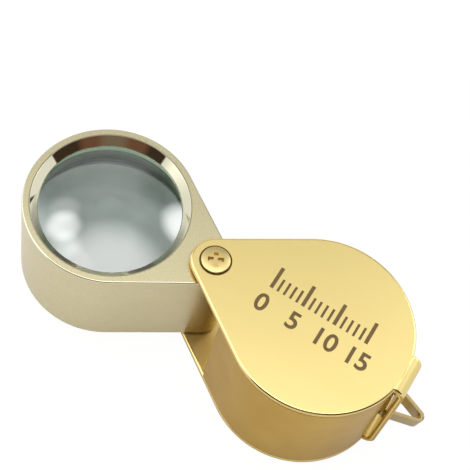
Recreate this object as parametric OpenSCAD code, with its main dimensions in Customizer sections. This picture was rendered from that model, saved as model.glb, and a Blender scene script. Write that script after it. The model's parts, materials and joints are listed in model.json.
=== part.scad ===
// Folding pocket loupe. A thick teardrop lens housing swings about one pivot
// screw, out of a cover that is folded from a single strip of sheet metal.
// The origin is on the pivot axis, on the underside of the cover. +X runs from
// the pivot to the hanging ring, +Y is the open side of the cover, and +Z is up
// through the cover, towards the screw head. All sizes are in millimetres.

/* [Cover] */
// Height of the cover over its two outer faces
cover_h = 19.5; // [16:0.1:24]
// Thickness of the folded sheet
sheet_t = 0.9; // [0.6:0.05:1.1]
// Radius of the round end of the cover's plates
cover_round_r = 13.3; // [12:0.1:16]
// Distance from the pivot to the centre of the cover's round end
cover_reach = 17.1; // [15:0.1:21]
// Radius of the cover's tip, around the pivot
cover_tip_r = 3.55; // [3:0.05:4.5]
// Thickness of the curved side wall
wall_t = 0.4; // [0.3:0.05:0.6]
// How far the side wall is set in from the edges of the plates
wall_inset = 0.05; // [0:0.01:0.1]
// Length of the side that is left open, from the pivot to the start of the wall
wall_start_x = 5.4; // [4:0.1:7]
// Gap between the end of the wall and the strap
wall_end_gap = 0.35; // [0.2:0.05:0.6]

/* [Strap] */
// Width of the strap that joins the two plates
strap_w = 6.2; // [5.4:0.1:8]
// Outer radius of the strap's two bends
bend_r = 1.8; // [1.3:0.1:2.2]

/* [Lens housing] */
// Gap between the housing and each plate, filled by a washer at the pivot
side_gap = 0.5; // [0.3:0.05:0.8]
// Radius of the round end of the housing
housing_round_r = 12.5; // [12.2:0.05:12.6]
// Distance from the pivot to the middle of the lens
lens_reach = 17.1; // [16.5:0.05:17.2]
// Radius of the housing's tip, around the pivot
housing_tip_r = 2.95; // [2.6:0.05:3.2]

/* [Lenses and retaining rings] */
// Diameter of glass that can be seen through each retaining ring
view_d = 20.6; // [18:0.1:21]
// Radius at which a ring's bevel meets the face of the housing
bevel_r = 11.4; // [11:0.05:11.6]
// Depth of a ring's bevel below the face of the housing
bevel_depth = 1.14; // [0.8:0.02:1.5]
// Thickness of a ring's lip below the bevel
lip_t = 0.16; // [0.1:0.02:0.3]
// Height of a ring's threaded skirt
ring_h = 2.8; // [2:0.1:3.5]
// Radial thickness of a ring's threaded skirt
skirt_t = 0.5; // [0.3:0.05:0.55]
// Radius of curvature of the two outer glass surfaces
dome_r = 45; // [40:1:80]
// Air gap from the middle lens to the flat faces of the outer lenses
lens_gap = 0.34; // [0.2:0.02:0.8]
// Edge thickness of the middle lens
middle_lens_edge = 1.4; // [1:0.1:2]
// Radius of curvature of the middle lens
middle_lens_r = 65; // [60:1:200]
// Radial thickness of the two spacer rings
spacer_wall = 0.6; // [0.4:0.05:0.8]

/* [Pivot] */
// Outer radius of the pivot barrel
barrel_r = 1.5; // [1.2:0.05:1.6]
// Radius of the pivot screw's shank
shank_r = 0.8; // [0.6:0.05:1]
// Radius of the pivot screw's head
head_r = 2.08; // [1.9:0.02:2.2]
// How far the screw head stands above the cover
head_proud = 0.27; // [0.1:0.01:0.4]
// Depth to which the head is sunk in the upper plate
head_sink = 0.4; // [0.2:0.05:0.5]
// Chamfer round the top of the head
head_chamfer = 0.16; // [0.1:0.02:0.25]
// Height above the flange at which the shank ends
shank_foot = 1; // [0.5:0.1:3]
// Width of one arm of the cross recess
recess_w = 0.62; // [0.4:0.02:0.8]
// Length over both arms of the cross recess
recess_l = 2.7; // [2:0.1:3]
// Depth of the cross recess
recess_depth = 0.5; // [0.3:0.05:0.6]
// Radius of the flange that closes the barrel in the lower plate
flange_r = 2.3; // [2.1:0.05:2.5]
// Thickness of the flange
flange_t = 0.5; // [0.3:0.05:0.55]
// Outer radius of the two pivot washers
washer_r = 2.6; // [2.3:0.05:2.8]

/* [Hanging ring] */
// Width of the flat band that the ring is bent from
band_w = 2.4; // [2:0.1:3]
// Thickness of the band
band_t = 0.55; // [0.4:0.05:0.7]
// Distance that the ring reaches out past the strap
ring_out = 4.1; // [3.5:0.1:6]
// Outer radius of the ring's outer corner
ring_tip_r = 0.95; // [0.8:0.05:1.2]
// Half the spread of the two legs at the strap's outer face
leg_y = 1.95; // [1.7:0.05:2.1]
// Width of the narrowed ends behind the strap
hook_w = 1.2; // [0.9:0.1:1.5]
// Angle that the ring hangs down when the loupe lies flat
ring_droop = 8; // [0:1:10]

/* [Clearances] */
// Radial clearance of the barrel in the housing and in the plates
pivot_fit = 0.05; // [0.02:0.01:0.1]
// Radial clearance of screw, flange and lens seats
seat_fit = 0.08; // [0.05:0.01:0.12]
// Radial gap round the screw head in its sunk seat
head_gap = 0.22; // [0.1:0.02:0.3]
// Play between glass, spacers and rings along the lens axis
stack_play = 0.02; // [0.01:0.01:0.05]
// Clearance of the ring's legs in the slots of the strap
slot_fit = 0.25; // [0.2:0.05:0.4]
// Gap between the folded housing and the ends of the ring
hook_gap = 0.25; // [0.2:0.05:0.3]

/* [Hidden] */
$fn = 96;
eps = 0.01;
// Straight sides lie this far inside the arcs that they run into
blend = 0.004;

gold = [0.93, 0.82, 0.50];
pale_gold = [0.85, 0.81, 0.66];
polished_gold = [0.95, 0.88, 0.66];
glass_tint = [0.80, 0.90, 0.85, 0.4];
steel = [0.70, 0.70, 0.70];

// Heights through the cover and the housing
upper_plate_z = cover_h - sheet_t;
housing_z = sheet_t + side_gap;
housing_h = cover_h - 2 * housing_z;
housing_mid = cover_h / 2;

// The strap stands far enough out to leave room for the ring's ends
housing_end_x = lens_reach + housing_round_r;
hook_swing = hook_w / 2 * sin(ring_droop) + band_t / 2 * cos(ring_droop);
hook_x = housing_end_x + hook_gap + hook_swing;
strap_in_x = max(hook_x + hook_swing + hook_gap, cover_reach + cover_round_r - sheet_t / 2);
strap_out_x = strap_in_x + sheet_t;

// Lens stack, measured from the middle of the housing
view_r = view_d / 2;
ring_r = bevel_r + 0.02;
lens_r = ring_r - skirt_t - seat_fit;
bore_r = lens_r + seat_fit;
apex_depth = bevel_depth + lip_t + stack_play - dome_sag(view_r);
apex_z = housing_h / 2 - apex_depth;
edge_z = apex_z - dome_sag(lens_r);
spacer_r = lens_r - spacer_wall;
spacer_rise = sphere_sag(middle_lens_r, lens_r) - sphere_sag(middle_lens_r, spacer_r);
spacer_z = middle_lens_edge / 2 + spacer_rise + stack_play;
flat_z = middle_lens_edge / 2 + sphere_sag(middle_lens_r, lens_r) + lens_gap;
spacer_h = flat_z - stack_play - spacer_z;

// Pivot
hole_r = barrel_r + pivot_fit;
head_seat_z = cover_h - head_sink;
barrel_top_z = head_seat_z - stack_play;

// Hanging ring, drawn flat about the middle of its hidden ends. Each leg is
// tangent to the outer corner and passes the strap's outer face at leg_y
ring_z = cover_h / 2;
ring_tip_x = strap_out_x + ring_out - ring_tip_r - hook_x;
leg_run = ring_tip_x - (strap_out_x - hook_x);
leg_slant = acos(ring_tip_r / norm([leg_run, leg_y])) - atan2(leg_run, leg_y);
leg_offset = ring_tip_x * sin(leg_slant) + ring_tip_r;

// Height of a dome of the lens radius at distance r from its axis
function dome_sag(r) = sphere_sag(dome_r, r);
function sphere_sag(big_r, r) = big_r - sqrt(big_r * big_r - r * r);

// Half width of the hanging ring at x past its hidden ends, inset from outside
function leg_edge(x, inset) = (leg_offset - inset - x * sin(leg_slant)) / cos(leg_slant);

// Teardrop block of height h: a tip at the origin and a larger round end at
// reach, joined along their two common tangents
module teardrop(h, reach, round_r, tip_r) {
    slant = asin((round_r - tip_r) / reach);
    out = [-sin(slant), cos(slant)];
    tip = (tip_r - blend) * out;
    shoulder = [reach, 0] + (round_r - blend) * out;
    cylinder(h = h, r = tip_r);
    translate([reach, 0, 0]) cylinder(h = h, r = round_r);
    linear_extrude(h) polygon([tip, shoulder, [shoulder[0], -shoulder[1]], [tip[0], -tip[1]]]);
}

module ring_area(outer_r, inner_r) {
    difference() {
        circle(r = outer_r);
        circle(r = inner_r);
    }
}

// One bend of the strap, in the plane of its profile, turning from +X to -Y
module bend_area() {
    intersection() {
        ring_area(bend_r, bend_r - sheet_t);
        square(bend_r + 1);
    }
}

// Side view of the two tabs, the two bends and the strap
module strap_profile() {
    bend_x = strap_out_x - bend_r;
    tab_x = cover_reach + cover_round_r / 2;
    translate([bend_x, cover_h - bend_r]) bend_area();
    translate([bend_x, bend_r]) mirror([0, 1]) bend_area();
    translate([strap_in_x, bend_r]) square([sheet_t, cover_h - 2 * bend_r]);
    translate([tab_x, upper_plate_z]) square([bend_x - tab_x, sheet_t]);
    translate([tab_x, 0]) square([bend_x - tab_x, sheet_t]);
}

module cover_plate() {
    teardrop(sheet_t, cover_reach, cover_round_r, cover_tip_r);
}

// A slot for one leg of the hanging ring
module leg_slot() {
    out_x = strap_out_x - hook_x;
    swing_h = out_x * sin(ring_droop) + band_w / 2 * cos(ring_droop) + slot_fit;
    low_y = leg_edge(out_x, band_t) - slot_fit;
    high_y = leg_edge(out_x - sheet_t, 0) + slot_fit;
    translate([strap_in_x - 1, low_y, ring_z - swing_h])
        cube([sheet_t + 2, high_y - low_y, 2 * swing_h]);
}

module cover_sheet() {
    color(gold)
    difference() {
        union() {
            cover_plate();
            translate([0, 0, upper_plate_z]) cover_plate();
            translate([0, strap_w / 2, 0]) rotate([90, 0, 0])
                linear_extrude(strap_w) strap_profile();
        }
        translate([0, 0, -1]) cylinder(h = cover_h + 2, r = hole_r);
        translate([0, 0, head_seat_z]) cylinder(h = head_sink + 1, r = head_r + head_gap);
        translate([0, 0, -1]) cylinder(h = flange_t + 1, r = flange_r + seat_fit);
        leg_slot();
        mirror([0, 1, 0]) leg_slot();
    }
}

// Curved side wall, on the side opposite to the one the housing leaves by
module cover_wall() {
    outer_r = cover_round_r - wall_inset;
    inner_r = outer_r - wall_t;
    tip_r = cover_tip_r - wall_inset;
    wall_h = cover_h - 2 * sheet_t;
    end_x = cover_reach + cover_round_r + 1;
    end_y = -strap_w / 2 - wall_end_gap;
    color(gold)
    translate([0, 0, sheet_t])
    intersection() {
        difference() {
            teardrop(wall_h, cover_reach, outer_r, tip_r);
            translate([0, 0, -1]) teardrop(wall_h + 2, cover_reach, inner_r, tip_r - wall_t);
        }
        translate([wall_start_x, end_y - cover_round_r, 0])
            cube([end_x - wall_start_x, cover_round_r, wall_h]);
    }
}

module pivot_screw() {
    head_h = head_sink + head_proud;
    foot_z = flange_t + shank_foot;
    recess_z = head_seat_z + head_h - recess_depth;
    color(polished_gold)
    difference() {
        union() {
            translate([0, 0, head_seat_z]) cylinder(h = head_h - head_chamfer, r = head_r);
            translate([0, 0, head_seat_z + head_h - head_chamfer])
                cylinder(h = head_chamfer, r1 = head_r, r2 = head_r - head_chamfer);
            translate([0, 0, foot_z]) cylinder(h = head_seat_z - foot_z + eps, r = shank_r);
        }
        for (turn = [0, 90]) rotate(turn)
            translate([-recess_l / 2, -recess_w / 2, recess_z]) cube([recess_l, recess_w, 1]);
    }
}

// Flanged barrel that the screw is driven into, flush with the underside
module pivot_barrel() {
    color(steel)
    difference() {
        union() {
            cylinder(h = flange_t - stack_play, r = flange_r);
            cylinder(h = barrel_top_z, r = barrel_r);
        }
        translate([0, 0, flange_t]) cylinder(h = cover_h, r = shank_r + seat_fit);
    }
}

module washer() {
    difference() {
        cylinder(h = side_gap, r = washer_r);
        translate([0, 0, -1]) cylinder(h = side_gap + 2, r = hole_r);
    }
}

module upper_washer() {
    color(steel) translate([0, 0, upper_plate_z - side_gap]) washer();
}

module lower_washer() {
    color(steel) translate([0, 0, sheet_t]) washer();
}

// Places a piece of the lens stack: the housing points away from the cover
module on_lens_axis() {
    translate([-lens_reach, 0, housing_mid]) children();
}

module lens_housing() {
    seat_h = ring_h + stack_play;
    color(pale_gold)
    difference() {
        translate([0, 0, housing_z]) rotate(180)
            teardrop(housing_h, lens_reach, housing_round_r, housing_tip_r);
        cylinder(h = cover_h, r = hole_r);
        on_lens_axis() {
            translate([0, 0, -housing_h]) cylinder(h = 2 * housing_h, r = bore_r);
            for (side = [0, 1]) mirror([0, 0, side])
                translate([0, 0, housing_h / 2 - seat_h])
                    cylinder(h = seat_h + 1, r = ring_r + stack_play);
        }
    }
}

// Polished bevelled ring that screws in over the glass
module retaining_ring() {
    face_z = housing_h / 2;
    rotate_extrude()
    polygon([
        [view_r, face_z - bevel_depth],
        [bevel_r, face_z],
        [ring_r, face_z],
        [ring_r, face_z - ring_h],
        [ring_r - skirt_t, face_z - ring_h],
        [ring_r - skirt_t, face_z - bevel_depth - lip_t],
        [view_r, face_z - bevel_depth - lip_t]
    ]);
}

module front_retaining_ring() {
    color(polished_gold) on_lens_axis() retaining_ring();
}

module rear_retaining_ring() {
    color(polished_gold) on_lens_axis() mirror([0, 0, 1]) retaining_ring();
}

// Plano-convex outer lens, domed side up
module outer_lens() {
    intersection() {
        translate([0, 0, flat_z]) cylinder(h = housing_h, r = lens_r);
        translate([0, 0, apex_z - dome_r]) sphere(r = dome_r, $fn = 360);
    }
}

module front_lens() {
    color(glass_tint) on_lens_axis() outer_lens();
}

module rear_lens() {
    color(glass_tint) on_lens_axis() mirror([0, 0, 1]) outer_lens();
}

module middle_lens() {
    sag = sphere_sag(middle_lens_r, lens_r);
    centre = middle_lens_edge / 2 + sag - middle_lens_r;
    color(glass_tint) on_lens_axis()
    intersection() {
        cylinder(h = housing_h, r = lens_r, center = true);
        translate([0, 0, centre]) sphere(r = middle_lens_r, $fn = 360);
        translate([0, 0, -centre]) sphere(r = middle_lens_r, $fn = 360);
    }
}

module spacer() {
    translate([0, 0, spacer_z]) linear_extrude(spacer_h) ring_area(lens_r, spacer_r);
}

module front_spacer() {
    color(steel) on_lens_axis() spacer();
}

module rear_spacer() {
    color(steel) on_lens_axis() mirror([0, 0, 1]) spacer();
}

// Solid block of height h with the ring's outline, inset from its outside: the
// hidden end, the two legs and the rounded outer corner
module ring_block(h, inset) {
    tip_r = ring_tip_r - inset;
    back_x = inset - band_t / 2;
    back_y = leg_edge(back_x, inset + blend);
    tip = [ring_tip_x, 0] + (tip_r - blend) * [sin(leg_slant), cos(leg_slant)];
    translate([ring_tip_x, 0, 0]) cylinder(h = h, r = tip_r, center = true);
    linear_extrude(h, center = true)
        polygon([[back_x, back_y], tip, [tip[0], -tip[1]], [back_x, -back_y]]);
}

module hanging_ring() {
    leg_start = strap_in_x - hook_x - slot_fit / 2;
    color(gold)
    translate([hook_x, 0, ring_z]) rotate([0, ring_droop, 0])
    difference() {
        ring_block(band_w, 0);
        ring_block(band_w + 1, band_t);
        for (side = [0, 1]) mirror([0, 0, side])
            translate([-band_t, -strap_w, hook_w / 2])
                cube([leg_start + band_t, 2 * strap_w, band_w]);
    }
}

cover_sheet();
cover_wall();
pivot_screw();
pivot_barrel();
upper_washer();
lower_washer();
lens_housing();
front_retaining_ring();
front_lens();
front_spacer();
middle_lens();
rear_spacer();
rear_lens();
rear_retaining_ring();
hanging_ring();
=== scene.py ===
"""Looks of a folding pocket loupe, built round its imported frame.

The cover, the lens housing, the bevelled rings, the glass, the screw and the
hanging ring are modelled here as finished pieces, each on its own CAD body.
"""

import json
import math

import bmesh
import bpy
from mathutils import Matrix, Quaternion, Vector


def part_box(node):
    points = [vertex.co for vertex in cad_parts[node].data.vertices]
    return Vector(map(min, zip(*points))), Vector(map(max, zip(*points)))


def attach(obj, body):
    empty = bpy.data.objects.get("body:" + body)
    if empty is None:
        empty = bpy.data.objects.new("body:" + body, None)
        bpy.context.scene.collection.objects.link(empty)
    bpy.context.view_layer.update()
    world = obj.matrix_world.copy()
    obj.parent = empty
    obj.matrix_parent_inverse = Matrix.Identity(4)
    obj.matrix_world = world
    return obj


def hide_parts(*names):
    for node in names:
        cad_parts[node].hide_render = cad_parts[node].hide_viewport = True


bl_info = {
    "name": "Folding Pocket Loupe",
    "version": (1, 0, 0),
    "blender": (4, 5, 0),
    "location": "View3D > Sidebar > Loupe",
    "description": "Builds the pieces, finishes and stage of a folding pocket loupe",
    "category": "Add Mesh",
}

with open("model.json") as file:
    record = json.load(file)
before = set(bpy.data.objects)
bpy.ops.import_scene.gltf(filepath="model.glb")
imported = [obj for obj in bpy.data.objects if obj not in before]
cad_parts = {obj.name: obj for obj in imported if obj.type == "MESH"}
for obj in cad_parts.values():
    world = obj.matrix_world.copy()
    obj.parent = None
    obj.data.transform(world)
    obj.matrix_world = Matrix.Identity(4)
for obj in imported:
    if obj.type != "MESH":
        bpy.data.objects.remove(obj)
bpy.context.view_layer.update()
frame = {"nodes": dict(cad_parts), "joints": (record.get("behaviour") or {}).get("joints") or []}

MM = 0.001
# Lengths below which two places count as one: in a test, in a new mesh and after a cut
TINY = 1e-7
MERGE = 1e-6
CUT_MERGE = 2e-6
# Edges flatter than this are dissolved
FLAT = math.radians(0.2)
# A face lies flat if its normal's Z is over the first, and stands upright if under the second
LYING = 0.9
UPRIGHT = 0.5
# Steps round a large circle, a small one and a strap's bend
LARGE_STEPS = 192
SMALL_STEPS = 96
BEND_STEPS = 16

COVER_LOW, COVER_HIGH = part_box("cover_sheet")
WALL_LOW, WALL_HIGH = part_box("cover_wall")
HOUSING_LOW, HOUSING_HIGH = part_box("lens_housing")
RING_LOW, RING_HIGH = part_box("front_retaining_ring")
LENS_LOW, LENS_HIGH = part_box("front_lens")
REAR_LENS_LOW, REAR_LENS_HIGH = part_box("rear_lens")
MIDDLE_LOW, MIDDLE_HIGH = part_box("middle_lens")
SCREW_LOW, SCREW_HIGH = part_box("pivot_screw")
BARREL_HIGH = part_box("pivot_barrel")[1]
WASHER_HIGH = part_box("upper_washer")[1]
LOOP_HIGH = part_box("hanging_ring")[1]

HOUSING_R = HOUSING_HIGH.y
HOUSING_TIP = HOUSING_HIGH.x
LENS_X = HOUSING_LOW.x + HOUSING_R
COVER_R = COVER_HIGH.y
COVER_TIP = -COVER_LOW.x
TOP_Z = COVER_HIGH.z
MID_Z = TOP_Z / 2
FACE_Z = HOUSING_HIGH.z
UNDER_Z = HOUSING_LOW.z
RING_R = RING_HIGH.y
RING_DEPTH = RING_HIGH.z - RING_LOW.z
LENS_R = LENS_HIGH.y
HEAD_R = SCREW_HIGH.y
PIN_HOLE_R = WASHER_HIGH.y * 0.6


def size(name, description, default):
    """A length that a user can change, in metres."""
    return bpy.props.FloatProperty(
        name=name, description=description, default=default, min=0, unit="LENGTH", precision=5
    )


def place_along(name, description, default):
    """A place along an axis that a user can change, in metres."""
    return bpy.props.FloatProperty(name=name, description=description, default=default, unit="LENGTH")


def angle(name, description, degrees):
    """An angle that a user can change."""
    return bpy.props.FloatProperty(
        name=name, description=description, default=math.radians(degrees), subtype="ANGLE"
    )


def colour(name, description, default):
    """A colour that a user can change."""
    return bpy.props.FloatVectorProperty(
        name=name, description=description, default=default, min=0, max=1, size=3, subtype="COLOR"
    )


class LoupeSizes(bpy.types.PropertyGroup):
    """Sizes of the details that the frame doesn't fix."""

    sheet: size("Sheet", "Thickness of the cover's folded sheet", 0.9 * MM)
    cover_reach: size("Cover reach", "From the pivot to the middle of the round end", 17.1 * MM)
    cover_edge: size("Cover edge", "Rounding of the cover's edges", 0.36 * MM)
    bend: size("Bend", "Outer radius of the strap's bends", 1.8 * MM)
    strap: size("Strap", "Width of the strap", 6.2 * MM)
    slot_near: size("Slot near side", "From the strap's middle to a slot's near side", 1.05 * MM)
    slot_far: size("Slot far side", "From the strap's middle to a slot's far side", 2.75 * MM)
    slot_half: size("Slot half height", "Half the height of the ring's slots", 1.62 * MM)

    wall: size("Side wall", "Thickness of the side wall", 0.4 * MM)
    wall_inset: size("Wall inset", "From the plates' edge in to the side wall", 0.05 * MM)
    wall_edge: size("Wall edge", "Rounding of the side wall's edges", 0.07 * MM)

    head_seat: size("Head seat", "Radius of the sunk seat round the screw head", 2.3 * MM)
    seat_depth: size("Seat depth", "Depth of the screw head's seat", 0.4 * MM)
    seat_edge: size("Seat edge", "Chamfer round the screw head's seat", 0.03 * MM)
    flange_gap: size("Flange gap", "Air round the barrel's flange in the lower plate", 0.08 * MM)
    head_edge: size("Head edge", "Rounding of the screw head", 0.14 * MM)
    head_crown: size("Head crown", "How far the screw head rises to its middle", 0.03 * MM)
    shank: size("Shank", "Radius of the screw under its head", 0.8 * MM)
    recess_wide: size("Recess width", "Width of the cross recess's arms", 0.78 * MM)
    recess_long: size("Recess length", "From end to end of the cross recess", 2.8 * MM)
    recess_deep: size("Recess depth", "Depth of the cross recess", 0.5 * MM)

    engraving: size("Engraving", "Depth of the engraved scale", 0.08 * MM)
    tick_wide: size("Tick width", "Width of a short tick", 0.36 * MM)
    tick_long: size("Tick length", "Length of a short tick", 2.1 * MM)
    main_tick_wide: size("Main tick width", "Width of a numbered tick", 0.55 * MM)
    main_tick_long: size("Main tick length", "Length of a numbered tick", 3.6 * MM)
    numeral: size("Numeral", "Size of the scale's numbers", 3.8 * MM)
    numeral_weight: size("Numeral weight", "How much bolder the numbers are than plain", 0.08 * MM)

    housing_edge: size("Housing edge", "Rounding of the housing's edges", 0.22 * MM)
    view_r: size("View radius", "Radius of the clear glass", 10.3 * MM)
    bevel_r: size("Bevel radius", "Outer radius of the polished bevel", 11.4 * MM)
    bevel_depth: size("Bevel depth", "Depth of the polished bevel", 1.14 * MM)
    bevel_rim: size("Bevel rim", "Rounding of the bevel's two rims", 0.1 * MM)
    seam: size("Seam", "Rounding of the ring's outer edge, along the housing", 0.05 * MM)
    ring_gap: size("Ring gap", "Air between a retaining ring and its seat", 0.02 * MM)
    lip: size("Lip", "Thickness of the ring's inner lip", 0.16 * MM)
    skirt: size("Skirt", "Radial thickness of the ring's threaded skirt", 0.5 * MM)
    dome: size("Dome", "Radius of curvature of the outer glass", 45 * MM)
    middle_dome: size("Middle dome", "Radius of curvature of the middle lens", 65 * MM)

    band: size("Band", "Thickness of the hanging ring's band", 0.55 * MM)
    band_half: size("Band half width", "Half the width of the hanging ring's band", 1.2 * MM)
    prong_half: size("Prong half width", "Half the width of the ring's ends in the slots", 0.6 * MM)
    ring_tip: size("Ring tip", "Outer radius of the hanging ring's tip", 0.95 * MM)
    ring_corner: size("Ring corner", "Outer radius of its two other corners", 0.3 * MM)
    inner_corner: size("Inner corner", "Inner radius of its two other corners", 0.05 * MM)
    ring_edge: size("Ring edge", "Rounding of the band's edges", 0.12 * MM)
    ring_droop: angle("Ring droop", "How far the hanging ring rests below level", 8)


class LoupeColours(bpy.types.PropertyGroup):
    """Colours of the finishes."""

    cover: colour("Cover", "Satin gold plating of the cover", (0.88, 0.715, 0.295))
    # The wall's gold is a darker copy of the cover's: painted shade for faces that look sideways and
    # mirror the shaded floor
    wall: colour("Wall", "Darker gold of the side wall, painted shade", (0.59, 0.385, 0.06))
    housing: colour("Housing", "Champagne plating of the lens housing", (0.75, 0.68, 0.43))
    polish: colour("Polish", "Polished gold of the rolled edges and the barrel", (0.90, 0.73, 0.33))
    screw: colour("Screw", "Muted gold of the screw head", (0.82, 0.67, 0.31))
    # The hanging ring's gold is darker than the cover's
    aged: colour("Darker ring gold", "Plainer gold of the hanging ring", (0.46, 0.37, 0.19))
    # The inner faces' gold is tuned apart from the cover's to set the shaded pocket's brightness:
    # painted light
    inside: colour("Inside", "Unpolished inner faces of the cover, with painted light", (0.90, 0.74, 0.35))
    bevel: colour("Bevel", "Polished champagne of the bevelled rings", (0.78, 0.76, 0.58))
    # The scale's dark fill is print; in the screw's seat the same colour is painted shade
    etch: colour("Etch", "Dark fill of the scale, and painted shade in the screw's seat", (0.20, 0.125, 0.045))
    glass: colour("Glass", "Tint of the glass", (0.69, 0.745, 0.715))
    # The ground edge's colour is set light, and it glows: painted light for light scattered inside the
    # glass
    ground_edge: colour("Ground edge", "Matt edge of each lens, lightened as painted light", (0.56, 0.74, 0.58))
    barrel: colour("Barrel", "Dark inside of the lens barrel", (0.34, 0.40, 0.29))
    steel: colour("Steel", "Washers", (0.60, 0.58, 0.54))
    floor: colour("Floor", "Pale floor", (0.62, 0.62, 0.62))
    set_dark: colour("Set, dark", "Dark things in front that the bevels mirror", (0.05, 0.032, 0.022))
    set_red: colour("Set, red", "Red-brown things in front that the bevels mirror", (0.17, 0.08, 0.05))
    set_grey: colour("Set, grey", "Greyer things in front that the bevels mirror", (0.20, 0.15, 0.11))


class LoupeView(bpy.types.PropertyGroup):
    """Where the camera stands."""

    azimuth: angle("Azimuth", "Round the object, from its front", 15.206)
    elevation: angle("Elevation", "Above the floor", 60.354)
    roll: angle("Roll", "Turn of the picture", 17.261)
    distance: size("Distance", "From the target to the camera", 191.15 * MM)
    target_x: place_along("Target X", "Where the camera looks, along the cover", -1.25 * MM)
    target_y: place_along("Target Y", "Where the camera looks, across the cover", 10.33 * MM)
    lens: bpy.props.FloatProperty(name="Lens", description="Focal length in mm", default=98.28)


def sizes():
    """The sizes as the user has set them."""
    return bpy.context.scene.loupe_sizes


def colours():
    """The colours as the user has set them."""
    return bpy.context.scene.loupe_colours


# ---------------------------------------------------------------- modelling


def deselect():
    """Leaves edit mode and deselects every object."""
    if bpy.context.object and bpy.context.object.mode != "OBJECT":
        bpy.ops.object.mode_set(mode="OBJECT")
    bpy.ops.object.select_all(action="DESELECT")


def pick(piece):
    """Makes piece the only selected object."""
    deselect()
    piece.select_set(True)
    bpy.context.view_layer.objects.active = piece


def edit(piece):
    """Goes into edit mode on piece, with nothing of it selected."""
    pick(piece)
    bpy.ops.object.mode_set(mode="EDIT")
    bpy.ops.mesh.select_mode(type="VERT")
    bpy.ops.mesh.select_all(action="DESELECT")


def select_edges(piece, wanted):
    """Selects the edges for which wanted(edge) is true, in edit mode."""
    bpy.ops.mesh.select_mode(type="EDGE")
    mesh = bmesh.from_edit_mesh(piece.data)
    for edge in mesh.edges:
        edge.select_set(wanted(edge))
    mesh.select_flush_mode()
    bmesh.update_edit_mesh(piece.data)


def close_shell():
    """Merges doubles, turns all faces outwards and leaves edit mode."""
    bpy.ops.mesh.select_all(action="SELECT")
    bpy.ops.mesh.remove_doubles(threshold=MERGE)
    bpy.ops.mesh.normals_make_consistent(inside=False)
    bpy.ops.object.mode_set(mode="OBJECT")


def set_finish(piece, index, wanted):
    """Gives material slot index to the faces for which wanted(face) is true."""
    for face in piece.data.polygons:
        if wanted(face):
            face.material_index = index


def wrapped_block(circles, low, high, steps=LARGE_STEPS):
    """A block whose outline wraps tightly round circles of (x, y, radius)."""
    deselect()
    middle = (low + high) / 2
    for number, (x, y, radius) in enumerate(circles):
        bpy.ops.mesh.primitive_cylinder_add(
            vertices=steps, radius=radius, depth=high - low, location=(x, y, middle)
        )
        if number == 0:
            piece = bpy.context.object
            bpy.ops.object.mode_set(mode="EDIT")
    bpy.ops.mesh.select_all(action="SELECT")
    bpy.ops.mesh.convex_hull()
    bpy.ops.mesh.select_all(action="SELECT")
    bpy.ops.mesh.dissolve_limited(angle_limit=FLAT)
    bpy.ops.mesh.normals_make_consistent(inside=False)
    bpy.ops.object.mode_set(mode="OBJECT")
    place(piece)
    return piece


def box_block(low, high):
    """A plain block between two corners, as a cutter or a start."""
    deselect()
    low, high = Vector(low), Vector(high)
    bpy.ops.mesh.primitive_cube_add(size=1, location=(low + high) / 2)
    piece = bpy.context.object
    piece.scale = high - low
    place(piece)
    return piece


def turned(axis_x, profile, steps=LARGE_STEPS):
    """A solid turned about an upright axis at axis_x, from (radius, height) points."""
    deselect()
    bpy.ops.mesh.primitive_plane_add(size=MM, location=(axis_x, 0, 0))
    piece = bpy.context.object
    bpy.ops.object.mode_set(mode="EDIT")
    bpy.ops.mesh.merge(type="CENTER")
    bpy.ops.transform.translate(value=(profile[0][0], 0, profile[0][1]))
    for (r0, z0), (r1, z1) in zip(profile, profile[1:]):
        bpy.ops.mesh.extrude_vertices_move(TRANSFORM_OT_translate={"value": (r1 - r0, 0, z1 - z0)})
    bpy.ops.mesh.select_all(action="SELECT")
    bpy.ops.mesh.spin(steps=steps, angle=2 * math.pi, center=(axis_x, 0, 0), axis=(0, 0, 1))
    close_shell()
    place(piece)
    return piece


def arc(centre, radius, start, end, steps):
    """Points of an arc in a profile, angles in degrees from the +radius side."""
    turn = [math.radians(start + (end - start) * i / steps) for i in range(steps + 1)]
    return [(centre[0] + radius * math.cos(a), centre[1] + radius * math.sin(a)) for a in turn]


def rounded(corners, steps=4):
    """Points of a closed outline from (radius, height, cut) corners, each rounded by its cut."""
    outline = []
    for before, corner, after in zip(corners[-1:] + corners[:-1], corners, corners[1:] + corners[:1]):
        middle, cut = Vector(corner[:2]), corner[2]
        start = middle + (Vector(before[:2]) - middle).normalized() * cut
        end = middle + (Vector(after[:2]) - middle).normalized() * cut
        for i in range(steps + 1 if cut else 1):
            t = i / steps
            outline.append(start * (1 - t) ** 2 + middle * 2 * t * (1 - t) + end * t * t)
    return [tuple(point) for point in outline]


def place(piece):
    """Puts the piece's place into its mesh, so that its object sits at the origin."""
    pick(piece)
    bpy.ops.object.transform_apply(location=True, rotation=True, scale=True)


def combine(piece, other, operation):
    """Adds other to piece, or cuts it away, and removes other."""
    pick(piece)
    tool = piece.modifiers.new("combine", "BOOLEAN")
    tool.operation = operation
    tool.solver = "EXACT"
    tool.object = other
    bpy.ops.object.modifier_apply(modifier=tool.name)
    bpy.data.objects.remove(other)


def clean(piece):
    """Merges what a cut left double and joins flat faces."""
    edit(piece)
    bpy.ops.mesh.select_all(action="SELECT")
    bpy.ops.mesh.remove_doubles(threshold=CUT_MERGE)
    bpy.ops.mesh.dissolve_limited(angle_limit=FLAT)
    bpy.ops.object.mode_set(mode="OBJECT")


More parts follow.
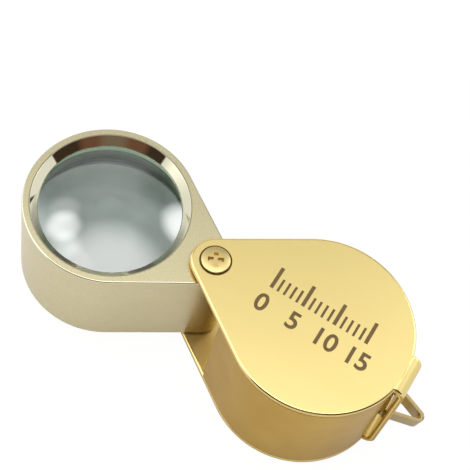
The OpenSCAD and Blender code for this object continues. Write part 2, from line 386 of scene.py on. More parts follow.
def round_edges(piece, width, segments=3, angle=40, finish=-1):
    """Rounds every edge that is sharper than angle; finish is the rounding's material slot."""
    pick(piece)
    tool = piece.modifiers.new("round", "BEVEL")
    tool.width = width
    tool.segments = segments
    tool.limit_method = "ANGLE"
    tool.angle_limit = math.radians(angle)
    tool.miter_outer = "MITER_ARC"
    tool.material = finish
    bpy.ops.object.modifier_apply(modifier=tool.name)


def smooth(piece, angle=35):
    """Smooth shading, with flat faces kept flat."""
    pick(piece)
    bpy.ops.object.shade_smooth_by_angle(angle=math.radians(angle))
    tool = piece.modifiers.new("flatten", "WEIGHTED_NORMAL")
    tool.keep_sharp = True
    tool.weight = 100
    bpy.ops.object.modifier_apply(modifier=tool.name)


def mount(piece, name, body, slot, *nodes):
    """Names a finished piece and puts it on its body in the place of its CAD nodes."""
    deselect()
    piece.name = name
    piece.data.name = name
    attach(piece, body)
    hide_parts(*nodes)


def dress(piece, *materials):
    """Gives the piece its material slots."""
    piece.data.materials.clear()
    for material in materials:
        piece.data.materials.append(material)


# ---------------------------------------------------------------- materials


# Fineness of the brushed lines and of the soft patches
LINES_SCALE = 9000
PATCHES_SCALE = 180
# Stretch of a pattern along the object's length, and none
LENGTHWISE = (0.2, 1, 1)
ALL_WAYS = (1, 1, 1)
# How much of red, green and blue a warmer patch loses
WARMING = (1.0, 1.9, 3.2)
BUMP_HEIGHT = 0.01 * MM


def grain_group():
    """Fine lines and soft patches of plated metal, drawn out as their input is stretched."""
    found = bpy.data.node_groups.get("Brushed Grain")
    if found:
        return found
    tree = bpy.data.node_groups.new("Brushed Grain", "ShaderNodeTree")
    tree.interface.new_socket(name="Vector", in_out="INPUT", socket_type="NodeSocketVector")
    tree.interface.new_socket(name="Lines", in_out="OUTPUT", socket_type="NodeSocketFloat")
    tree.interface.new_socket(name="Patches", in_out="OUTPUT", socket_type="NodeSocketFloat")
    nodes, links = tree.nodes, tree.links
    start, end = nodes.new("NodeGroupInput"), nodes.new("NodeGroupOutput")
    for name, scale, detail in (("Lines", LINES_SCALE, 3), ("Patches", PATCHES_SCALE, 4)):
        noise = nodes.new("ShaderNodeTexNoise")
        noise.inputs["Scale"].default_value = scale
        noise.inputs["Detail"].default_value = detail
        links.new(start.outputs["Vector"], noise.inputs["Vector"])
        links.new(noise.outputs["Fac"], end.inputs[name])
    return tree


def new_material(name):
    """An empty material with its Principled shader: (material, nodes, links, shader)."""
    material = bpy.data.materials.new(name)
    material.use_nodes = True
    nodes, links = material.node_tree.nodes, material.node_tree.links
    nodes.clear()
    shader = nodes.new("ShaderNodeBsdfPrincipled")
    output = nodes.new("ShaderNodeOutputMaterial")
    links.new(shader.outputs["BSDF"], output.inputs["Surface"])
    return material, nodes, links, shader


def mapped(nodes, links, stretch):
    """Object coordinates, stretched."""
    coordinates = nodes.new("ShaderNodeTexCoord")
    mapping = nodes.new("ShaderNodeMapping")
    mapping.inputs["Scale"].default_value = stretch
    links.new(coordinates.outputs["Object"], mapping.inputs["Vector"])
    return mapping.outputs["Vector"]


def spread(nodes, links, source, low, high):
    """Maps the middle part of a texture's values onto the range low to high."""
    node = nodes.new("ShaderNodeMapRange")
    node.inputs["From Min"].default_value = 0.3
    node.inputs["From Max"].default_value = 0.7
    node.inputs["To Min"].default_value = low
    node.inputs["To Max"].default_value = high
    links.new(source, node.inputs["Value"])
    return node.outputs["Result"]


def vary_roughness(nodes, links, shader, texture, roughness, share):
    """A roughness that follows the texture, up to a share less and more."""
    rough = spread(nodes, links, texture, roughness * (1 - share), roughness * (1 + share))
    links.new(rough, shader.inputs["Roughness"])


def two_tone(nodes, links, shader, texture, first, second):
    """A base colour that wanders between two tones as the texture does."""
    shade = nodes.new("ShaderNodeMix")
    shade.data_type = "RGBA"
    shade.inputs["A"].default_value = (*first, 1)
    shade.inputs["B"].default_value = (*second, 1)
    links.new(spread(nodes, links, texture, 0, 1), shade.inputs["Factor"])
    links.new(shade.outputs["Result"], shader.inputs["Base Color"])


def metal(name, tint, roughness, stretch=ALL_WAYS, grain=0.0, warmth=0.0):
    """Plated metal: brushed lines in roughness and height, soft warmer patches in colour."""
    found = bpy.data.materials.get(name)
    if found:
        return found
    material, nodes, links, shader = new_material(name)
    shader.inputs["Metallic"].default_value = 1.0
    brushed = nodes.new("ShaderNodeGroup")
    brushed.node_tree = grain_group()
    links.new(mapped(nodes, links, stretch), brushed.inputs["Vector"])
    warm = [tone * (1 - warmth * loss) for tone, loss in zip(tint, WARMING)]
    two_tone(nodes, links, shader, brushed.outputs["Patches"], tint, warm)
    vary_roughness(nodes, links, shader, brushed.outputs["Lines"], roughness, share=0.04)
    if grain:
        bump = nodes.new("ShaderNodeBump")
        bump.inputs["Strength"].default_value = grain
        bump.inputs["Distance"].default_value = BUMP_HEIGHT
        links.new(brushed.outputs["Lines"], bump.inputs["Height"])
        links.new(bump.outputs["Normal"], shader.inputs["Normal"])
    return material


def cover_metal():
    """The plates' upper and lower faces."""
    return metal("Satin Gold", colours().cover, roughness=0.30, stretch=LENGTHWISE, warmth=0.015)


def wall_metal():
    """Painted shade: the side wall, and the plates' rims that face the same way, in a darker gold than
    the plates.
    """
    return metal("Shaded Satin Gold", colours().wall, roughness=0.34, grain=0.1, warmth=0.08)


def inside_metal():
    """The plates' inner faces: rougher, and in a lighter gold than the outer faces, painted light in the
    shaded pocket between the plates.
    """
    return metal("Unpolished Gold, Lightened", colours().inside, roughness=0.38, grain=0.1, warmth=0.06)


def housing_metal():
    """The lens housing."""
    return metal("Champagne Gold", colours().housing, roughness=0.28, stretch=LENGTHWISE, warmth=0.02)


def polished_metal():
    """Rolled edges and the pivot barrel."""
    return metal("Polished Gold", colours().polish, roughness=0.08, warmth=0.02)


def screw_metal():
    """The screw's worn head."""
    return metal("Screw Gold", colours().screw, roughness=0.30, grain=0.3, warmth=0.06)


def aged_metal():
    """The hanging ring."""
    return metal("Darker Ring Gold", colours().aged, roughness=0.22, grain=0.1, warmth=0.10)


def bevel_metal():
    """The bevelled rings and the housing's rounded edges."""
    return metal("Polished Champagne", colours().bevel, roughness=0.05, warmth=0.01)


def plain(name, tint, roughness, metallic=0.0, vary=0.1, scale=900, glow=0.0):
    """A plain finish with a fine mottle; glow stands for light that scatters inside it."""
    found = bpy.data.materials.get(name)
    if found:
        return found
    material, nodes, links, shader = new_material(name)
    shader.inputs["Metallic"].default_value = metallic
    shader.inputs["Emission Color"].default_value = (*tint, 1)
    shader.inputs["Emission Strength"].default_value = glow
    noise = nodes.new("ShaderNodeTexNoise")
    noise.inputs["Scale"].default_value = scale
    links.new(mapped(nodes, links, ALL_WAYS), noise.inputs["Vector"])
    darker = [tone * (1 - vary) for tone in tint]
    lighter = [min(1.0, tone * (1 + vary)) for tone in tint]
    two_tone(nodes, links, shader, noise.outputs["Fac"], darker, lighter)
    vary_roughness(nodes, links, shader, noise.outputs["Fac"], roughness, share=0.15)
    return material


def etched_fill():
    """Dark fill of the engraved scale, and painted shade in the screw head's seat."""
    return plain("Etched Fill And Seat Shade", colours().etch, roughness=0.55, metallic=0.3, vary=0.15, scale=2500)


def barrel_dark():
    """Blackened bore and spacers."""
    return plain("Dark Barrel Wall", colours().barrel, roughness=0.45, vary=0.12, scale=1500)


def ground_glass():
    """Matt ground edges of the lenses, lightened and given a glow: painted light for light scattered
    inside the glass.
    """
    tint = colours().ground_edge
    return plain("Ground Glass Edge", tint, roughness=0.7, vary=0.3, scale=3000, glow=0.22)


def plain_steel():
    """Washers."""
    return plain("Spring Steel", colours().steel, roughness=0.3, metallic=1.0, vary=0.05, scale=1200)


def clear_glass(name="Clear Glass", coat=1.0):
    """Polished glass with a faint tint; the outer face has a coat that mirrors more."""
    found = bpy.data.materials.get(name)
    if found:
        return found
    material, nodes, links, shader = new_material(name)
    shader.inputs["Base Color"].default_value = (*colours().glass, 1)
    shader.inputs["Roughness"].default_value = 0.0
    shader.inputs["IOR"].default_value = 1.6
    shader.inputs["Coat Weight"].default_value = coat
    shader.inputs["Coat IOR"].default_value = 2.2
    shader.inputs["Coat Roughness"].default_value = 0.0
    shader.inputs["Transmission Weight"].default_value = 1.0
    return material


# ---------------------------------------------------------------- pieces


class LOUPE_OT_cover_sheet(bpy.types.Operator):
    """Cover folded from one strip of sheet: two plates, two bends and the strap"""

    bl_idname = "loupe.cover_sheet"
    bl_label = "Cover Sheet"

    # Material slots of the cover
    SATIN, ETCHED, POLISHED, INNER, RIM = range(5)
    # A face of the rounding whose normal rises less than this gets the side wall's darker gold: painted
    # shade on faces that look sideways or down
    STEEP = 0.45
    # The scale's ticks, how often one is numbered, and their pitch
    TICKS = 16
    NUMBERED_EVERY = 5
    PITCH = MM
    # The first tick from the round end's middle, the ticks' feet, and the numbers below them
    FIRST_TICK = -8.6 * MM
    BASELINE = 0.75 * MM
    NUMERAL_GAP = 0.9 * MM

    def execute(self, context):
        s = sizes()
        outline = [(0, 0, COVER_TIP), (s.cover_reach, 0, COVER_R)]
        parts = [wrapped_block(outline, low, low + s.sheet) for low in (TOP_Z - s.sheet, 0)]
        parts.append(self.strap(s))
        for part in parts:
            dress(part, cover_metal(), etched_fill(), polished_metal(), inside_metal(), wall_metal())
            round_edges(part, s.cover_edge, segments=5, finish=self.POLISHED)
        cover = parts[0]
        for part in parts[1:]:
            combine(cover, part, "UNION")
        clean(cover)
        # Painted shade: rounded rims that look sideways or down take the side wall's darker gold
        set_finish(cover, self.RIM, self.is_steep_rounding)
        self.drill(cover, s)
        self.engrave(cover, s)
        set_finish(cover, self.ETCHED, lambda face: self.is_in_scale(face, s))
        # Painted light: the inner faces take a lighter gold than the plates' outer faces
        set_finish(cover, self.INNER, lambda face: self.is_inner(face, s))
        # Painted shade: the seat round the screw head takes the scale's dark fill
        set_finish(cover, self.ETCHED, lambda face: self.is_in_seat(face, s))
        smooth(cover)
        mount(cover, "folded_cover", "cover", "plated_gold", "cover_sheet")
        return {"FINISHED"}

    def is_steep_rounding(self, face):
        """Whether a face of the rounded edges looks sideways or down."""
        return face.material_index == self.POLISHED and face.normal.z < self.STEEP

    def is_in_scale(self, face, s):
        """Whether a face is a wall or the floor of the engraved scale."""
        below = TOP_Z - face.center.z
        from_middle = math.hypot(face.center.x - s.cover_reach, face.center.y)
        return TINY < below < s.engraving + TINY and from_middle < COVER_R - 2 * s.cover_edge

    def is_inner(self, face, s):
        """Whether a face is one of the flat faces that look at each other."""
        between = s.sheet - TINY < face.center.z < TOP_Z - s.sheet + TINY
        return face.material_index == self.SATIN and between and abs(face.normal.z) > LYING

    def is_in_seat(self, face, s):
        """Whether a face is a wall or the floor of the screw head's seat."""
        below = TOP_Z - face.center.z
        from_pivot = math.hypot(face.center.x, face.center.y)
        return s.seat_edge < below < s.seat_depth + TINY and from_pivot < s.head_seat + TINY

    def strap(self, s):
        """The strap and its two tabs, bent from the sheet."""
        start = s.cover_reach + COVER_R / 2
        end = COVER_HIGH.x
        outer = self.bent((start, end), (0, TOP_Z), s.strap / 2, s.bend)
        inside = (s.sheet, TOP_Z - s.sheet)
        inner = self.bent((start - MM, end - s.sheet), inside, s.strap, s.bend - s.sheet)
        combine(outer, inner, "DIFFERENCE")
        return outer

    def bent(self, along, upright, half_width, radius):
        """A block whose far upper and lower edges are rounded."""
        (low_x, high_x), (low_z, high_z) = along, upright
        block = box_block((low_x, -half_width, low_z), (high_x, half_width, high_z))

        def is_bend(edge):
            one, two = (vert.co for vert in edge.verts)
            return min(one.x, two.x) > high_x - TINY and abs(one.z - two.z) < TINY

        edit(block)
        select_edges(block, is_bend)
        bpy.ops.mesh.bevel(offset=radius, segments=BEND_STEPS, affect="EDGES")
        bpy.ops.object.mode_set(mode="OBJECT")
        return block

    def drill(self, cover, s):
        """The sunk seat of the screw head, the barrel's holes and the ring's slots."""
        mouth = s.head_seat + s.seat_edge
        above, floor, below = TOP_Z + MM, TOP_Z - s.seat_depth, TOP_Z - 2 * s.sheet
        seat = [
            (0, above),
            (mouth + MM, above),
            (mouth, TOP_Z),
            (s.head_seat, TOP_Z - s.seat_edge),
            (s.head_seat, floor),
            (PIN_HOLE_R, floor),
            (PIN_HOLE_R, below),
            (0, below),
        ]
        combine(cover, turned(0, seat, SMALL_STEPS), "DIFFERENCE")
        flange_r = BARREL_HIGH.y + s.flange_gap
        flange = [(0, -MM), (flange_r, -MM), (flange_r, 2 * s.sheet), (0, 2 * s.sheet)]
        combine(cover, turned(0, flange, SMALL_STEPS), "DIFFERENCE")
        for side in (-1, 1):
            near, far = sorted((s.slot_near * side, s.slot_far * side))
            slot = box_block(
                (COVER_HIGH.x - 2 * s.sheet, near, MID_Z - s.slot_half),
                (COVER_HIGH.x + MM, far, MID_Z + s.slot_half),
            )
            combine(cover, slot, "DIFFERENCE")

    def engrave(self, cover, s):
        """A plain scale with plain numbers, cut into the upper plate."""
        base, floor = self.BASELINE, TOP_Z - s.engraving
        for number in range(self.TICKS):
            main = number % self.NUMBERED_EVERY == 0
            half = (s.main_tick_wide if main else s.tick_wide) / 2
            end = base + (s.main_tick_long if main else s.tick_long)
            x = s.cover_reach + self.FIRST_TICK + number * self.PITCH
            combine(cover, box_block((x - half, base, floor), (x + half, end, TOP_Z + MM)), "DIFFERENCE")
            if main:
                numeral = self.numeral(str(number), x, base - self.NUMERAL_GAP, floor, s)
                combine(cover, numeral, "DIFFERENCE")

    def numeral(self, text, x, top, floor, s):
        """A number as a solid that stands on floor, centred on x, its top edge at top."""
        half_height = 0.5 * MM
        deselect()
        bpy.ops.object.text_add()
        letters = bpy.context.object.data
        letters.body = text
        letters.size = s.numeral
        letters.align_x = "CENTER"
        letters.align_y = "TOP"
        letters.extrude = half_height
        letters.offset = s.numeral_weight
        bpy.ops.object.convert(target="MESH")
        numeral = bpy.context.object
        numeral.location = (x, top, floor + half_height)
        place(numeral)
        edit(numeral)
        close_shell()
        return numeral


class LOUPE_OT_cover_wall(bpy.types.Operator):
    """Curved side wall between the two plates"""

    bl_idname = "loupe.cover_wall"
    bl_label = "Cover Wall"

    def execute(self, context):
        s = sizes()
        wall = self.teardrop(s, s.wall_inset, WALL_LOW.z, WALL_HIGH.z)
        hollow = self.teardrop(s, s.wall_inset + s.wall, WALL_LOW.z - MM, WALL_HIGH.z + MM)
        combine(wall, hollow, "DIFFERENCE")
        self.trim(wall, (WALL_LOW.x, 0, 0), (-1, 0, 0))
        self.trim(wall, (0, WALL_HIGH.y, 0), (0, 1, 0))
        round_edges(wall, s.wall_edge, segments=2, angle=50)
        dress(wall, wall_metal())
        smooth(wall)
        mount(wall, "side_wall", "cover", "plated_gold", "cover_wall")
        return {"FINISHED"}

    def teardrop(self, s, inset, low, high):
        """A block with the plates' outline, drawn in by inset."""
        circles = [(0, 0, COVER_TIP - inset), (s.cover_reach, 0, COVER_R - inset)]
        return wrapped_block(circles, low, high)

    def trim(self, wall, point, outward):
        """Cuts away what lies past point, in the direction outward."""
        edit(wall)
        bpy.ops.mesh.select_all(action="SELECT")
        bpy.ops.mesh.bisect(plane_co=point, plane_no=outward, use_fill=True, clear_outer=True)
        bpy.ops.object.mode_set(mode="OBJECT")


class LOUPE_OT_pivot(bpy.types.Operator):
    """Cross-recess pivot screw, with the barrel and washers finished as they are"""

    bl_idname = "loupe.pivot"
    bl_label = "Pivot"

    # Turn of the cross recess, and how much its arms narrow towards the bottom
    RECESS_TURN = math.radians(28)
    RECESS_TAPER = (0.62, 0.75, 1)
    # The flatter middle of the head's crown, as shares of its radius and of its rise
    CROWN_FLAT = 0.45
    CROWN_DROP = 0.2

    def execute(self, context):
        s = sizes()
        seat_z = TOP_Z - s.seat_depth
        top = SCREW_HIGH.z
        corner = (HEAD_R - s.head_edge, top - s.head_crown - s.head_edge)
        profile = [(0, top), (HEAD_R * self.CROWN_FLAT, top - s.head_crown * self.CROWN_DROP)]
        profile += arc(corner, s.head_edge, start=80, end=0, steps=6)
        profile += [(HEAD_R, seat_z), (s.shank, seat_z), (s.shank, SCREW_LOW.z), (0, SCREW_LOW.z)]
        screw = turned(0, profile, SMALL_STEPS)
        for turn in (0, math.pi / 2):
            combine(screw, self.recess_arm(s, turn, top), "DIFFERENCE")
        dress(screw, screw_metal())
        smooth(screw, angle=30)
        mount(screw, "pivot_screw_head", "cover", "polished_gold", "pivot_screw")
        dress(frame["nodes"]["pivot_barrel"], polished_metal())
        for node in ("upper_washer", "lower_washer"):
            dress(frame["nodes"][node], plain_steel())
        return {"FINISHED"}

    def recess_arm(self, s, turn, top):
        """One arm of the cross recess, whose sides lean in towards the bottom."""
        long, wide, deep = s.recess_long / 2, s.recess_wide / 2, s.recess_deep
        arm = box_block((-long, -wide, top - deep), (long, wide, top + deep))
        edit(arm)
        mesh = bmesh.from_edit_mesh(arm.data)
        for vert in mesh.verts:
            vert.select_set(vert.co.z < top)
        mesh.select_flush_mode()
        bmesh.update_edit_mesh(arm.data)
        bpy.ops.transform.resize(value=self.RECESS_TAPER, center_override=(0, 0, top))
        bpy.ops.object.mode_set(mode="OBJECT")
        arm.rotation_euler.z = self.RECESS_TURN + turn
        place(arm)
        return arm


class LOUPE_OT_lens_housing(bpy.types.Operator):
    """Thick teardrop housing with its lens bore"""

    bl_idname = "loupe.lens_housing"
    bl_label = "Lens Housing"

    # Material slots of the housing
    PLATED, BORE, EDGE = range(3)

    def execute(self, context):
        s = sizes()
        housing = wrapped_block([(0, 0, HOUSING_TIP), (LENS_X, 0, HOUSING_R)], UNDER_Z, FACE_Z)
        dress(housing, housing_metal(), barrel_dark(), bevel_metal())
        round_edges(housing, s.housing_edge, segments=4, angle=50, finish=self.EDGE)
        above, below = FACE_Z + MM, UNDER_Z - MM
        seat_r, bore_r = RING_R + s.ring_gap, RING_R - s.skirt
        depth = RING_DEPTH + s.ring_gap
        bore = [
            (0, above),
            (seat_r, above),
            (seat_r, FACE_Z - depth),
            (bore_r, FACE_Z - depth),
            (bore_r, UNDER_Z + depth),
            (seat_r, UNDER_Z + depth),
            (seat_r, below),
            (0, below),
        ]
        combine(housing, turned(LENS_X, bore), "DIFFERENCE")
        hole = [(0, above), (PIN_HOLE_R, above), (PIN_HOLE_R, below), (0, below)]
        combine(housing, turned(0, hole, SMALL_STEPS), "DIFFERENCE")
        clean(housing)
        set_finish(
            housing,
            self.BORE,
            lambda face: math.hypot(face.center.x - LENS_X, face.center.y) < seat_r
            and abs(face.center.z - MID_Z) < FACE_Z - MID_Z - depth / 2,
        )
        smooth(housing)
        mount(housing, "teardrop_housing", "housing", "champagne_gold", "lens_housing")
        return {"FINISHED"}


class LOUPE_OT_retaining_rings(bpy.types.Operator):
    """Two polished bevelled rings that hold the glass"""

    bl_idname = "loupe.retaining_rings"
    bl_label = "Retaining Rings"

    def execute(self, context):
        for name, side in (("front", 1), ("rear", -1)):
            ring = turned(LENS_X, self.profile(sizes(), side))
            dress(ring, bevel_metal())
            smooth(ring, angle=25)
            node = name + "_retaining_ring"
            mount(ring, name + "_bevel_ring", "housing", "polished_gold", node)
        return {"FINISHED"}

    def profile(self, s, side):
        """Outline of the ring: the bevel, the rim, the skirt and the inner lip."""
        face = FACE_Z - MID_Z
        skirt_z = face - RING_DEPTH
        lip_z = face - s.bevel_depth
        skirt_r = RING_R - s.skirt
        corners = [
            (s.view_r, lip_z, s.bevel_rim),
            (s.bevel_r, face, s.bevel_rim),
            (RING_R, face, s.seam),
            (RING_R, skirt_z, 0),
            (skirt_r, skirt_z, 0),
            (skirt_r, lip_z - s.lip, 0),
            (s.view_r, lip_z - s.lip, 0),
        ]
        outline = rounded(corners)
        return [(r, MID_Z + side * z) for r, z in [*outline, outline[0]]]


class LOUPE_OT_lenses(bpy.types.Operator):
    """Three lenses and the two spacers between them"""

    bl_idname = "loupe.lenses"
    bl_label = "Lenses"

    # Material slots of a lens
    OUTER, GROUND, INNER = range(3)
    # Rings of faces from a dome's apex to its edge
    DOME_RINGS = 28

    def execute(self, context):
        s = sizes()
        for name, flat, apex, side in (
            ("front", LENS_LOW.z, LENS_HIGH.z, 1),
            ("rear", REAR_LENS_HIGH.z, REAR_LENS_LOW.z, -1),
        ):
            profile = self.dome(apex, s.dome, side) + [(LENS_R, flat), (0, flat)]
            self.lens(name + "_glass", name + "_lens", profile)
        profile = self.dome(MIDDLE_HIGH.z, s.middle_dome, 1)
        profile += reversed(self.dome(MIDDLE_LOW.z, s.middle_dome, -1))
        self.lens("middle_glass", "middle_lens", profile)
        for node in ("front_spacer", "rear_spacer"):
            dress(frame["nodes"][node], barrel_dark())
        return {"FINISHED"}

    def dome(self, apex, radius, side):
        """Profile of a dome from its apex out to the lens edge."""
        steps = [LENS_R * i / self.DOME_RINGS for i in range(self.DOME_RINGS + 1)]
        return [(r, apex - side * (radius - math.sqrt(radius * radius - r * r))) for r in steps]

    def lens(self, name, node, profile):
        """A turned lens: mirroring outer faces, plainer inner ones and a ground edge."""
        lens = turned(LENS_X, profile)
        dress(lens, clear_glass(), ground_glass(), clear_glass("Inner Glass", coat=0.0))
        set_finish(lens, self.GROUND, lambda face: abs(face.normal.z) < UPRIGHT)
        flat_back = LENS_LOW.z - MID_Z + TINY
        set_finish(
            lens,
            self.INNER,
            lambda face: face.material_index == self.OUTER and abs(face.center.z - MID_Z) < flat_back,
        )
        smooth(lens, angle=30)
        mount(lens, name, "housing", "clear_glass", node)


class LOUPE_OT_hanging_ring(bpy.types.Operator):
    """Triangular loop of flat band that passes through the strap"""

    bl_idname = "loupe.hanging_ring"
    bl_label = "Hanging Ring"

    # Air between the band's shoulders and the strap
    SHOULDER_GAP = 0.12 * MM
    # A slanting leg measured straight across, in thicknesses of the band
    LEG_ACROSS = 1.25

    def execute(self, context):
        s = sizes()
        joint = next(j for j in frame["joints"] if j["name"] == "ring_swing")
        hook_x, droop = joint["pos_m"][0], s.ring_droop
        tip_x = (LOOP_HIGH.x - hook_x - s.band_half * math.sin(droop)) / math.cos(droop)
        outer = self.triangle(tip_x, -s.band / 2, LOOP_HIGH.y, s.ring_tip, s.ring_corner)
        ring = wrapped_block(outer, -s.band_half, s.band_half, SMALL_STEPS)
        half_y = LOOP_HIGH.y - s.band * self.LEG_ACROSS + s.inner_corner
        inner = self.triangle(tip_x - s.band, s.band / 2, half_y, s.ring_tip - s.band, s.inner_corner)
        hollow = wrapped_block(inner, -2 * s.band_half, 2 * s.band_half, SMALL_STEPS)
        combine(ring, hollow, "DIFFERENCE")
        shoulder = COVER_HIGH.x - s.sheet - hook_x - self.SHOULDER_GAP
        past = LOOP_HIGH.y + MM
        for side in (-1, 1):
            low, high = sorted((s.prong_half * side, 2 * s.band_half * side))
            combine(ring, box_block((-MM, -past, low), (shoulder, past, high)), "DIFFERENCE")
        round_edges(ring, s.ring_edge, angle=50)
        ring.rotation_euler.y = droop
        ring.location = (hook_x, 0, MID_Z)
        place(ring)
        dress(ring, aged_metal())
        smooth(ring)
        mount(ring, "hanging_loop", "ring", "plated_gold", "hanging_ring")
        return {"FINISHED"}

    def triangle(self, tip_x, back_x, half_y, tip_r, corner_r):
        """The circles in a triangle's corners, as wrapped_block takes them."""
        corners = [(back_x + corner_r, side * (half_y - corner_r), corner_r) for side in (1, -1)]
        return [(tip_x - tip_r, 0, tip_r), *corners]


# ---------------------------------------------------------------- stage


class LOUPE_OT_stage(bpy.types.Operator):
    """Pale floor, soft studio light and the camera"""

    bl_idname = "loupe.stage"
    bl_label = "Stage"

    # The floor: its side in metres, its own light, and how much white the camera sees over it
    FLOOR_SIDE = 6
    FLOOR_LIGHT = 0.5
    WASH = 0.9
    WASH_LIGHT = 1.04
    # Light of the room by height above the horizon, in degrees
    LEVELS = ((0, 0.95), (25, 0.9), (36, 0.45), (50, 0.42), (53.5, 0.61), (90, 0.67))
    # Round lights: degrees round from the front and up, full within, none past, strength
    GLOWS = (
        (120, 87, 8, 25, 2.2),  # overhead
        (180, 44, 4, 13, -0.34),  # a darker patch behind
        (-111, 65, 1, 8, 2.6),  # a long light on the left, of three
        (-120, 59, 1, 7, 0.8),
        (-99, 72, 1, 7, 0.8),
        (160, 50, 2, 11, 3.6),  # behind, a little to the right
        (138, 31, 6, 20, 1.3),  # lower, further to the right
    )
    # The window and the dark set: degrees round from the front and up, softness of the edge
    WINDOW = ((-98, -50), (28, 70))
    WINDOW_SOFT = 20
    WINDOW_LIGHT = 1.6
    SET = ((-30, 105), (9, 78))
    SET_SOFT = 1.5

    def execute(self, context):
        self.floor()
        self.sky()
        self.camera(context)
        context.scene.view_settings.view_transform = "Standard"
        return {"FINISHED"}

    def floor(self):
        """A pale floor that washes out to white where it is looked at directly."""
        deselect()
        bpy.ops.mesh.primitive_plane_add(size=self.FLOOR_SIDE, location=(0, 0, 0))
        floor = bpy.context.object
        floor.name = "floor"
        material, nodes, links, shader = new_material("Pale Floor")
        shader.inputs["Base Color"].default_value = (*colours().floor, 1)
        shader.inputs["Roughness"].default_value = 0.9
        shader.inputs["Emission Color"].default_value = (*colours().floor, 1)
        shader.inputs["Emission Strength"].default_value = self.FLOOR_LIGHT
        path = nodes.new("ShaderNodeLightPath")
        wash = nodes.new("ShaderNodeMath")
        wash.operation = "MULTIPLY"
        wash.inputs[1].default_value = self.WASH
        links.new(path.outputs["Is Camera Ray"], wash.inputs[0])
        glow = nodes.new("ShaderNodeEmission")
        glow.inputs["Strength"].default_value = self.WASH_LIGHT
        mix = nodes.new("ShaderNodeMixShader")
        links.new(wash.outputs["Value"], mix.inputs["Fac"])
        links.new(shader.outputs["BSDF"], mix.inputs[1])
        links.new(glow.outputs["Emission"], mix.inputs[2])
        links.new(mix.outputs["Shader"], nodes["Material Output"].inputs["Surface"])
        dress(floor, material)

    def sky(self):
        """The studio: a soft ceiling, a window, round lights and a dark set in front."""
        world = bpy.data.worlds.new("Studio")
        bpy.context.scene.world = world
        world.use_nodes = True
        self.nodes, self.links = world.node_tree.nodes, world.node_tree.links
        self.nodes.clear()
        direction, across, height = self.directions()
        room = self.ramp(height, [(degrees, [light] * 3) for degrees, light in self.LEVELS])
        in_window = self.mask(across, height, self.WINDOW, self.WINDOW_SOFT)
        room = self.mixed(in_window, room, self.WINDOW_LIGHT)
        for glow in self.GLOWS:
            room = self.calculated("ADD", room, self.glow(direction, *glow))
        in_set = self.mask(across, height, self.SET, self.SET_SOFT)
        both = self.nodes.new("ShaderNodeVectorMath")
        self.feed(both.inputs[0], self.scaled((1, 1, 1), self.mixed(in_set, room, 0.0)))
        self.feed(both.inputs[1], self.scaled(self.ramp(across, self.set_tones()), in_set))
        path = self.nodes.new("ShaderNodeLightPath")
        seen = self.nodes.new("ShaderNodeMix")
        seen.data_type = "RGBA"
        seen.inputs["B"].default_value = (1, 1, 1, 1)
        self.links.new(path.outputs["Is Camera Ray"], seen.inputs["Factor"])
        self.links.new(both.outputs[0], seen.inputs["A"])
        backdrop = self.nodes.new("ShaderNodeBackground")
        output = self.nodes.new("ShaderNodeOutputWorld")
        self.links.new(seen.outputs["Result"], backdrop.inputs["Color"])
        self.links.new(backdrop.outputs["Background"], output.inputs["Surface"])

    def set_tones(self):
        """The dark and red-brown things in front, by degrees round from the front."""
        dark, red, grey = colours().set_dark, colours().set_red, colours().set_grey
        left = [(-30, dark), (-12, dark), (-4, red), (12, red)]
        right = [(24, grey), (42, grey), (54, red), (68, red), (77, dark), (105, dark)]
        return left + right

    def feed(self, socket, value):
        """Gives an input the output of another node, or a fixed value."""
        if isinstance(value, bpy.types.NodeSocket):
            self.links.new(value, socket)
        else:
            socket.default_value = value

    def calculated(self, kind, first, second=0.0):
        """One Math node, whose inputs are sockets or numbers."""
        node = self.nodes.new("ShaderNodeMath")
        node.operation = kind
        self.feed(node.inputs[0], first)
        self.feed(node.inputs[1], second)
        return node.outputs["Value"]

    def scaled(self, tone, amount):
        """A colour times the number of a socket."""
        node = self.nodes.new("ShaderNodeVectorMath")
        node.operation = "SCALE"
        self.feed(node.inputs[0], tone)
        self.feed(node.inputs["Scale"], amount)
        return node.outputs[0]

    def mixed(self, mask, outside, inside):
        """One number outside a mask, another inside it."""
        node = self.nodes.new("ShaderNodeMix")
        self.feed(node.inputs["Factor"], mask)
        self.feed(node.inputs["A"], outside)
        self.feed(node.inputs["B"], inside)
        return node.outputs["Result"]

    def directions(self):
        """The direction looked in, its degrees round from the front and above the horizon."""
        coordinates = self.nodes.new("ShaderNodeTexCoord")
        split = self.nodes.new("ShaderNodeSeparateXYZ")
        self.links.new(coordinates.outputs["Generated"], split.inputs["Vector"])
        front = self.calculated("MULTIPLY", split.outputs["Y"], -1.0)
        across = self.calculated("ARCTAN2", split.outputs["X"], front)
        height = self.calculated("ARCSINE", split.outputs["Z"])
        degrees = [self.calculated("MULTIPLY", turn, 180 / math.pi) for turn in (across, height)]
        return coordinates.outputs["Generated"], *degrees

    def glow(self, direction, across, height, core, reach, strength):
        """A soft round light: full inside core degrees of its middle, nothing past reach."""
        across, height = math.radians(across), math.radians(height)
        level = math.cos(height)
        middle = (math.sin(across) * level, -math.cos(across) * level, math.sin(height))
        dot = self.nodes.new("ShaderNodeVectorMath")
        dot.operation = "DOT_PRODUCT"
        dot.inputs[1].default_value = middle
        self.links.new(direction, dot.inputs[0])
        edges = [math.cos(math.radians(angle)) for angle in (reach, core)]
        return self.step(dot.outputs["Value"], *edges, 0, strength)

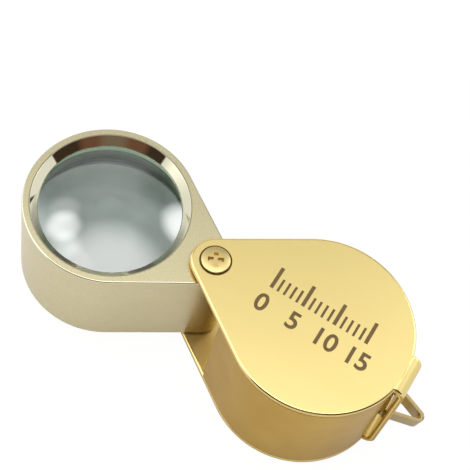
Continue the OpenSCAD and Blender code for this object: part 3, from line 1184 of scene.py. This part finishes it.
    def ramp(self, value, stops):
        """Colours that follow value, from (value, colour) stops."""
        first, last = stops[0][0], stops[-1][0]
        where = self.step(value, first, last, 0, 1)
        where.node.interpolation_type = "LINEAR"
        node = self.nodes.new("ShaderNodeValToRGB")
        elements = node.color_ramp.elements
        elements.remove(elements[-1])
        for number, (at, tone) in enumerate(stops):
            position = (at - first) / (last - first)
            element = elements[0] if number == 0 else elements.new(position)
            element.position = position
            element.color = (*tone, 1)
        self.links.new(where, node.inputs["Fac"])
        return node.outputs["Color"]

    def step(self, value, start, end, low, high):
        """Low before start, high after end, and a soft edge between."""
        node = self.nodes.new("ShaderNodeMapRange")
        node.interpolation_type = "SMOOTHSTEP"
        node.inputs["From Min"].default_value = start
        node.inputs["From Max"].default_value = end
        node.inputs["To Min"].default_value = low
        node.inputs["To Max"].default_value = high
        self.links.new(value, node.inputs["Value"])
        return node.outputs["Result"]

    def mask(self, across, height, part, soft):
        """1 inside a four-sided part of the sky, 0 outside, with soft edges."""
        sides = []
        for value, (low, high) in zip((across, height), part):
            sides.append(self.step(value, low - soft, low, 0, 1))
            sides.append(self.step(value, high, high + soft, 1, 0))
        result = sides[0]
        for side in sides[1:]:
            result = self.calculated("MULTIPLY", result, side)
        return result

    def camera(self, context):
        """The camera, at its angles round the target and its distance from it."""
        view = context.scene.loupe_view
        level = math.cos(view.elevation)
        back = Vector((math.sin(view.azimuth) * level, -math.cos(view.azimuth) * level, 0))
        back.z = math.sin(view.elevation)
        data = bpy.data.cameras.new("camera")
        data.lens = view.lens
        data.clip_start = 10 * MM
        camera = bpy.data.objects.new("camera", data)
        context.scene.collection.objects.link(camera)
        camera.rotation_mode = "QUATERNION"
        roll = Quaternion((0, 0, 1), view.roll)
        camera.rotation_quaternion = (-back).to_track_quat("-Z", "Y") @ roll
        camera.location = Vector((view.target_x, view.target_y, MID_Z)) + back * view.distance
        context.scene.camera = camera


OPERATORS = (
    LOUPE_OT_cover_sheet,
    LOUPE_OT_cover_wall,
    LOUPE_OT_pivot,
    LOUPE_OT_lens_housing,
    LOUPE_OT_retaining_rings,
    LOUPE_OT_lenses,
    LOUPE_OT_hanging_ring,
    LOUPE_OT_stage,
)


class LOUPE_PT_panel(bpy.types.Panel):
    """Lists the loupe's sizes, colours and pieces"""

    bl_label = "Pocket Loupe"
    bl_idname = "LOUPE_PT_panel"
    bl_space_type = "VIEW_3D"
    bl_region_type = "UI"
    bl_category = "Loupe"

    def draw(self, context):
        for group in (sizes(), colours(), context.scene.loupe_view):
            box = self.layout.box()
            for name in group.__annotations__:
                box.prop(group, name)
        for operator in OPERATORS:
            self.layout.operator(operator.bl_idname)


CLASSES = (LoupeSizes, LoupeColours, LoupeView, *OPERATORS, LOUPE_PT_panel)


def register():
    """Registers the classes and gives every scene its sizes, colours and view."""
    for cls in CLASSES:
        bpy.utils.register_class(cls)
    bpy.types.Scene.loupe_sizes = bpy.props.PointerProperty(type=LoupeSizes)
    bpy.types.Scene.loupe_colours = bpy.props.PointerProperty(type=LoupeColours)
    bpy.types.Scene.loupe_view = bpy.props.PointerProperty(type=LoupeView)


def unregister():
    """Takes the classes and the scene's properties away again."""
    del bpy.types.Scene.loupe_view
    del bpy.types.Scene.loupe_colours
    del bpy.types.Scene.loupe_sizes
    for cls in reversed(CLASSES):
        bpy.utils.unregister_class(cls)


def main():
    """Makes every piece and the stage."""
    register()
    for operator in OPERATORS:
        group, name = operator.bl_idname.split(".")
        getattr(getattr(bpy.ops, group), name)()
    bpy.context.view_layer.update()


if __name__ == "__main__":
    main()
